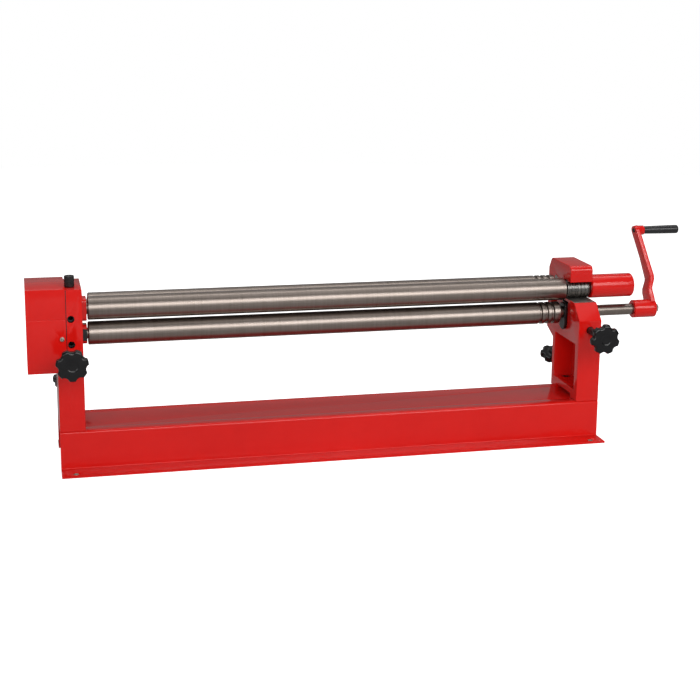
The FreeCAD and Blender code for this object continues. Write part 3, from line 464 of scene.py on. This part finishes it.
def star_knob(name, node, at, direction, lo, bore, phase=0.0):
    """Lobed knob growing away from lo along direction."""
    d, e1, e2 = axes(direction)
    at = Vector(at) + d * lo
    seg = 210
    # (distance, share of the outline, radius taken off the outline, circle radius when share is 0)
    prof = [(0.0, 0, 0, bore), (0.0, 0, 0, 12.6), (0.25, 0, 0, 13.5), (1.2, 0, 0, 14.2), (6.6, 0, 0, 15.2), (8.1, 0, 0, 15.9), (8.7, 0, 0, 17.0),
            (8.8, 0.55, 9.0, 21.0), (8.6, 0.9, 3.6, 30.0), (8.9, 1, 1.9, 0), (9.6, 1, 0.8, 0), (10.8, 1, 0.15, 0), (12.4, 1, 0.0, 0), (16.0, 1, 0.0, 0), (18.6, 1, 0.15, 0),
            (20.6, 1, 0.75, 0), (22.2, 1, 2.0, 0), (23.2, 1, 3.7, 0), (23.75, 1, 5.8, 0), (23.95, 0.9, 8.6, 20.0), (24.0, 0.6, 12.0, 16.5),
            (23.9, 0.25, 15.0, 14.0), (23.75, 0, 0, 12.0), (23.4, 0, 0, 11.2), (22.9, 0, 0, 10.6), (22.75, 0, 0, 9.4), (22.7, 0, 0, 0.0)]
    bm = bmesh.new()
    rings = []
    for s, share, off, circ in prof:
        if share == 0 and circ == 0:
            rings.append([bm.verts.new(at + d * s)])
            continue
        ring = []
        for k in range(seg):
            a = 2 * math.pi * k / seg
            r = share * (star_outline(a + phase) - off) + (1 - share) * circ
            ring.append(bm.verts.new(at + d * s + (e1 * math.cos(a) + e2 * math.sin(a)) * r))
        rings.append(ring)
    for A, B in zip(rings, rings[1:]):
        if len(B) == 1:
            for k in range(seg):
                bm.faces.new((A[k], A[(k + 1) % seg], B[0]))
        else:
            for k in range(seg):
                bm.faces.new((A[k], A[(k + 1) % seg], B[(k + 1) % seg], B[k]))
    # blind bore for the screw
    inner = [bm.verts.new(v.co + d * 17.0) for v in rings[0]]
    for k in range(seg):
        bm.faces.new((rings[0][(k + 1) % seg], rings[0][k], inner[k], inner[(k + 1) % seg]))
    end = bm.verts.new(at + d * 17.0)
    for k in range(seg):
        bm.faces.new((inner[(k + 1) % seg], inner[k], end))
    return new_object(name, bm, node, None, 40.0)


LEAN = Vector((0, -math.sin(TILT), math.cos(TILT)))
TURN = {"left": 0.0, "right": -21.0}
for side, s in (("left", -1), ("right", 1)):
    star_knob("front_star_knob_" + side, "front_knob_" + side, (s * MX, 0, SZ), (0, -1, 0), 149.0, 6.0, math.radians(TURN[side]))
    star_knob("rear_star_knob_" + side, "rear_knob_" + side, (s * MX, RY, RZ), -LEAN, 184.0, 8.0)


# ================================================================ screws
def screw(name, node, at, direction, plain, thread_from, thread_to, r, pitch, mat=None, seg=48):
    """Turned screw with a real helical-looking thread of closed rings."""
    pts = []
    for p in plain:
        if p == "thread":
            s = thread_from
            while s < thread_to - pitch * 0.99:
                pts += [(s, r - 0.75), (s + pitch * 0.18, r - 0.75), (s + pitch * 0.45, r), (s + pitch * 0.62, r)]
                s += pitch
            pts.append((s + pitch * 0.9, r - 0.75))
        else:
            pts.append(p)
    bm = bmesh.new()
    lathe_bm(bm, pts, at, direction, seg)
    return new_object(name, bm, node, mat, 50.0)


for side, s in (("left", -1), ("right", 1)):
    screw("front_thread_" + side, "front_screw_" + side, (s * MX, 0, SZ), (0, -1, 0),
          [(8.5, 0), (8.5, 4.5), (9.0, 5.0), (20.3, 5.0), (20.3, 5.2), "thread", (75, 6), (75, 7.5), (75.8, 8.5), (148.2, 8.5), (149, 7.7), (149, 6), (166, 6), (166, 0)],
          21.0, 74.0, 6.0, 1.75)
    screw("rear_thread_" + side, "rear_screw_" + side, (s * MX, RY, RZ), -LEAN,
          [(19.0, 0), (19.0, 4.5), (19.5, 5.0), (30.3, 5.0), (30.3, 7.0), "thread", (183.5, 7.3), (183.5, 8.0), (201, 8), (201, 0)],
          31.0, 183.0, 8.0, 2.0)

# ================================================================ release sleeve and grip
sleeve = [(552, 13.05), (552, 20.6), (553.4, 22)]
x = 556.0
while x < 579:
    sleeve += [(x, 22), (x + 0.4, 21.0), (x + 1.5, 21.0), (x + 1.9, 22)]
    x += 3.6
for x in (584.0, 592.0, 600.0):
    sleeve += [(x, 22), (x + 0.6, 20.2), (x + 3.0, 20.2), (x + 3.6, 22)]
sleeve += [(604.8, 22), (606, 20.8), (606, 18), (628, 18), (628, 13.05), (552, 13.05)]


def flatten_top(bm):
    for v in bm.verts:
        if v.co.x < 606.01 and v.co.z > UZ + 19.7:
            v.co.z = UZ + 19.7


lathe("release_sleeve_turned", "release_sleeve", sleeve, (0, PY, UZ), seg=120, mat="sleeve_steel", rad=0.25, steps=2, extra=flatten_top)


def off_centre(name, node, rows, seg=128):
    """Closed turned shape along X whose rings may sit on two axes: rows are (x, radius, rise)."""
    bm = bmesh.new()
    rings = []
    for x, r, dz in rows:
        if r == 0:
            rings.append([bm.verts.new((x, PY, UZ + dz))])
        else:
            rings.append([bm.verts.new((x, PY + r * math.cos(2 * math.pi * k / seg), UZ + dz + r * math.sin(2 * math.pi * k / seg))) for k in range(seg)])
    for A, B in zip(rings, rings[1:]):
        for k in range(seg):
            if len(A) == 1:
                bm.faces.new((A[0], B[k], B[(k + 1) % seg]))
            elif len(B) == 1:
                bm.faces.new((A[k], A[(k + 1) % seg], B[0]))
            else:
                bm.faces.new((A[k], A[(k + 1) % seg], B[(k + 1) % seg], B[k]))
    return new_object(name, bm, node, None, 32.0)


off_centre("release_grip_turned", "release_grip", [
    (645, 0, 0), (645, 18, 0), (612.2, 18, 0), (611.5, 18.5, 0), (611.5, 25.2, 4), (611.7, 26.2, 4), (612.2, 27.0, 4), (613.2, 27.45, 4), (614.4, 27.5, 4),
    (712.4, 27.5, 4), (714.0, 27.2, 4), (715.3, 26.4, 4), (716.3, 25.2, 4), (716.9, 23.8, 4), (717, 22.6, 4), (717, 6.5, 4), (716.6, 5.7, 4), (715.9, 5.4, 4), (715.9, 0, 4)])

# ================================================================ crank
hold = [(775.1, 5.05), (775.1, 8.1), (776.3, 9.1), (795, 9.4), (820, 9.8), (845, 10.1), (856, 10.2), (861.6, 10.0), (863.2, 8.6), (863.2, 7.0), (862.4, 6.8), (858.2, 6.8), (858.2, 5.05), (775.1, 5.05)]
lathe("crank_grip_turned", "crank_grip", hold, (0, GY, GZ), seg=80, rad=[0, .3, 1, 6, 10, 12, 8, 1.5, .8, .3, .3, .1, .1, 0])
pin = [(749.8, 0), (749.8, 4.4), (750.4, 5), (858.6, 5), (858.6, 6.4), (862.0, 6.4), (862.6, 5.8), (862.6, 3.1), (860.4, 2.8), (860.4, 0)]
lathe("grip_spindle_turned", "grip_spindle", pin, (0, GY, GZ), seg=48, rad=0.2, steps=2)

# ================================================================ collars, bolts
def knurl(lo, hi, n, depth):
    def wave(s, r, a):
        return r - (depth * 0.5 * (1 + math.cos(a * n)) if lo < s < hi and r > 8.0 else 0.0)
    return wave


knob = [(370, 0), (370, 5.2), (370.8, 6), (394.3, 6), (394.3, 9.4), (394.9, 10.2), (396.0, 10.5), (403.6, 10.5), (404.0, 9.7), (404.8, 9.7), (405.2, 10.5), (416.6, 10.5), (417.6, 10.2),
        (418.2, 9.4), (418.2, 5.4), (417.8, 5.0), (412, 5.0), (412, 0)]
lathe("lock_knob_knurled", "swing_collar", knob, (-580, -45, 0), (0, 0, 1), seg=240, rad=0.0, wave=knurl(395.2, 417.2, 40, 0.45), angle=50)
bolt = [(351.5, 0), (351.5, 5.2), (352.3, 6), (393.2, 6), (394, 5.2), (394, 3.4), (388, 3.2), (388, 0)]
lathe("swing_bolt_turned", "swing_bolt", bolt, (-MX, PY, 0), (0, 0, 1), seg=64, rad=0.0)


# ================================================================ red castings and sheet
def housing_mats(c, n):
    """Bored and machined faces stay bare: 1 is bare iron."""
    dy, dz = c.y - PY, c.z - UZ
    # painted shadow: a near-black dark steel strip on the left frame's front, along the cover's right edge, stands
    # in for the shade of the gap there
    if -590.7 < c.x < -588.8 and c.y < -79.9 and 216 < c.z < 396:
        return 2
    if c.x < 0 and -79.9 < c.y < -7 and min(math.hypot(c.x + 580, c.z - z) for z in (331.5, 276.5)) < 7.7:
        return 2
    if c.x > 0:
        if c.y < 30 and 311 < c.z < 355 and (math.hypot(dy, dz) < 22.6 or abs(c.z - 311.7) < 0.5) and abs(n.x) < 0.3:
            return 3
    inside = abs(n.x) < 0.3 and 556 < abs(c.x) < 611
    if inside and abs(dy) < 18.95 and 237 < c.z < 309:
        return 1
    return 0


def cover_shadow_strip_cuts(bm):
    """Two cuts that bound a strip of painted shadow: a near-black line where the cover's edge lies on the frame's
    front.
    """
    for x in (-0.5906, -0.5889):
        front = [f for f in bm.faces if f.normal.y < -0.99 and f.calc_center_median().y < -0.0795]
        geom = list({v for f in front for v in f.verts}) + list({e for f in front for e in f.edges}) + front
        bmesh.ops.bisect_plane(bm, geom=geom, dist=1e-7, plane_co=(x, 0, 0), plane_no=(1, 0, 0))


def cover_seam(bm):
    for z, push in ((0.3306, 0), (0.3314, 0), (0.3310, 1)):
        geom = bm.verts[:] + bm.edges[:] + bm.faces[:]
        bmesh.ops.bisect_plane(bm, geom=geom, dist=1e-7, plane_co=(0, 0, z), plane_no=(0, 0, 1))
        if push:
            for v in bm.verts:
                if abs(v.co.z - z) < 1e-6 and v.co.y < -0.0822:
                    v.co.y += 0.0004


refined("left_housing", 0.8, pre=cover_shadow_strip_cuts, mats=["red_paint", "bare_iron", "dark_steel", "mouth_iron"], pick=housing_mats)
refined("right_housing", 0.8, mats=["red_paint", "bare_iron", "dark_steel", "mouth_iron"], pick=housing_mats)
refined("gear_cover", 0.7, pre=cover_seam)
refined("base_channel", 0.6, mats=["red_paint", "zinc_steel"],
        pick=lambda c, n: 1 if abs(n.z) < 0.3 and math.hypot(abs(c.x) - 580, abs(c.y) - 116) < 7 else 0)
refined("keeper_plate_left", 0.5)
refined("keeper_plate_right", 0.5)
refined("swivel_block", 0.5)
refined("crank_arm", 1.0)
refined("lower_collar_right", 0.6)
refined("lower_block_left", 0.3, seg=2, mats=["dark_steel", "red_paint"], pick=lambda c, n: 1 if c.x > -556 else 0)
for n_ in ("housing_bolts", "housing_washers", "housing_nuts", "cover_screws", "keeper_screws", "lock_screws", "crank_bolt", "upper_gear", "lower_gear",
           "front_wedge_left", "front_wedge_right", "rear_block_left", "rear_block_right", "lower_block_right", "grip_set_screw"):
    refined(n_, 0.3, seg=2)

# ================================================================ floor, lights, camera
floor_mat = bpy.data.materials.new("floor_pale")
floor_mat.use_nodes = True
ft = floor_mat.node_tree
ft.nodes.clear()
fo = ft.nodes.new("ShaderNodeOutputMaterial")
pale = ft.nodes.new("ShaderNodeBsdfDiffuse")
pale.inputs[0].default_value = (0.88, 0.88, 0.88, 1)
glow = ft.nodes.new("ShaderNodeEmission")
glow.inputs[1].default_value = 0.86
both = ft.nodes.new("ShaderNodeAddShader")
soft = ft.nodes.new("ShaderNodeBsdfDiffuse")
soft.inputs[0].default_value = (0.50, 0.50, 0.50, 1)
ray = ft.nodes.new("ShaderNodeLightPath")
pick_ = ft.nodes.new("ShaderNodeMixShader")
ft.links.new(pale.outputs[0], both.inputs[0])
ft.links.new(glow.outputs[0], both.inputs[1])
ft.links.new(ray.outputs["Is Camera Ray"], pick_.inputs[0])
ft.links.new(soft.outputs[0], pick_.inputs[1])
ft.links.new(both.outputs[0], pick_.inputs[2])
ft.links.new(pick_.outputs[0], fo.inputs[0])
me = bpy.data.meshes.new("floor")
bm = bmesh.new()
ring_ = [bm.verts.new((5.2 * math.cos(2 * math.pi * k / 96), 5.2 * math.sin(2 * math.pi * k / 96), -0.0004)) for k in range(96)]
bm.faces.new(ring_)
bm.to_mesh(me)
bm.free()
floor = bpy.data.objects.new("floor", me)
me.materials.append(floor_mat)
scene.collection.objects.link(floor)


def area(name, loc, look, size, power, colour=(1, 1, 1)):
    li = bpy.data.lights.new(name, "AREA")
    li.shape = "RECTANGLE"
    li.size, li.size_y = size
    li.energy = power
    li.color = colour
    o = bpy.data.objects.new(name, li)
    o.location = loc
    o.rotation_euler = (Vector(look) - Vector(loc)).to_track_quat("-Z", "Y").to_euler()
    scene.collection.objects.link(o)
    return o


area("key", (0.7, -4.1, 2.4), (0.0, 0, 0.25), (5.5, 1.8), 122)
area("strip", (0.5, -2.9, 2.35), (0.4, 0, 0.3), (4.8, 0.06), 9)
area("front_fill", (0.9, -4.0, 1.45), (0.2, 0, 0.3), (4.6, 1.2), 22)
area("top", (0.1, 0.3, 2.9), (0, 0, 0.2), (4.0, 3.0), 26)
area("over_strip", (0.2, 0.55, 2.6), (0.2, 0, 0.3), (4.6, 0.20), 12)
area("back_strip", (0.3, 3.0, 2.4), (0.1, 0, 0.3), (4.6, 0.25), 5)
area("left_fill", (-2.3, -2.5, 0.9), (-0.62, 0, 0.25), (1.0, 1.0), 13)

world = bpy.data.worlds.new("studio")
scene.world = world
world.use_nodes = True
wt = world.node_tree
wt.nodes.clear()
wo = wt.nodes.new("ShaderNodeOutputWorld")
seen = wt.nodes.new("ShaderNodeBackground")
seen.inputs[0].default_value = (1, 1, 1, 1)
seen.inputs[1].default_value = 1.0
lit = wt.nodes.new("ShaderNodeBackground")
lit.inputs[0].default_value = (1.0, 0.99, 0.98, 1)
lit.inputs[1].default_value = 0.20
lp = wt.nodes.new("ShaderNodeLightPath")
mx = wt.nodes.new("ShaderNodeMixShader")
wt.links.new(lp.outputs["Is Camera Ray"], mx.inputs[0])
wt.links.new(lit.outputs[0], mx.inputs[1])
wt.links.new(seen.outputs[0], mx.inputs[2])
wt.links.new(mx.outputs[0], wo.inputs[0])

scene.view_settings.view_transform = "Standard"
scene.view_settings.look = "None"
scene.view_settings.exposure = 0.0
scene.view_settings.gamma = 1.0

cam = bpy.data.cameras.new("camera")
co = bpy.data.objects.new("camera", cam)
scene.collection.objects.link(co)
yaw, pitch, roll, foc = 0.2325, 0.2098, 0.0099, 1422.9
fwd = Vector((math.sin(yaw) * math.cos(pitch), math.cos(yaw) * math.cos(pitch), -math.sin(pitch)))
rgt = Vector((math.cos(yaw), -math.sin(yaw), 0))
up = rgt.cross(fwd)
r2 = rgt * math.cos(roll) + up * math.sin(roll)
u2 = -rgt * math.sin(roll) + up * math.cos(roll)
rot = Matrix((r2, u2, -fwd)).transposed()
co.matrix_world = Matrix.Translation(Vector((-0.6797, -3.0282, 1.0160))) @ rot.to_4x4()
cam.sensor_width = 36
cam.sensor_fit = "HORIZONTAL"
cam.lens = foc / 700 * 36
cam.shift_x = 0.0
cam.shift_y = -60 / 700
cam.clip_start = 0.05
cam.clip_end = 60
scene.camera = co
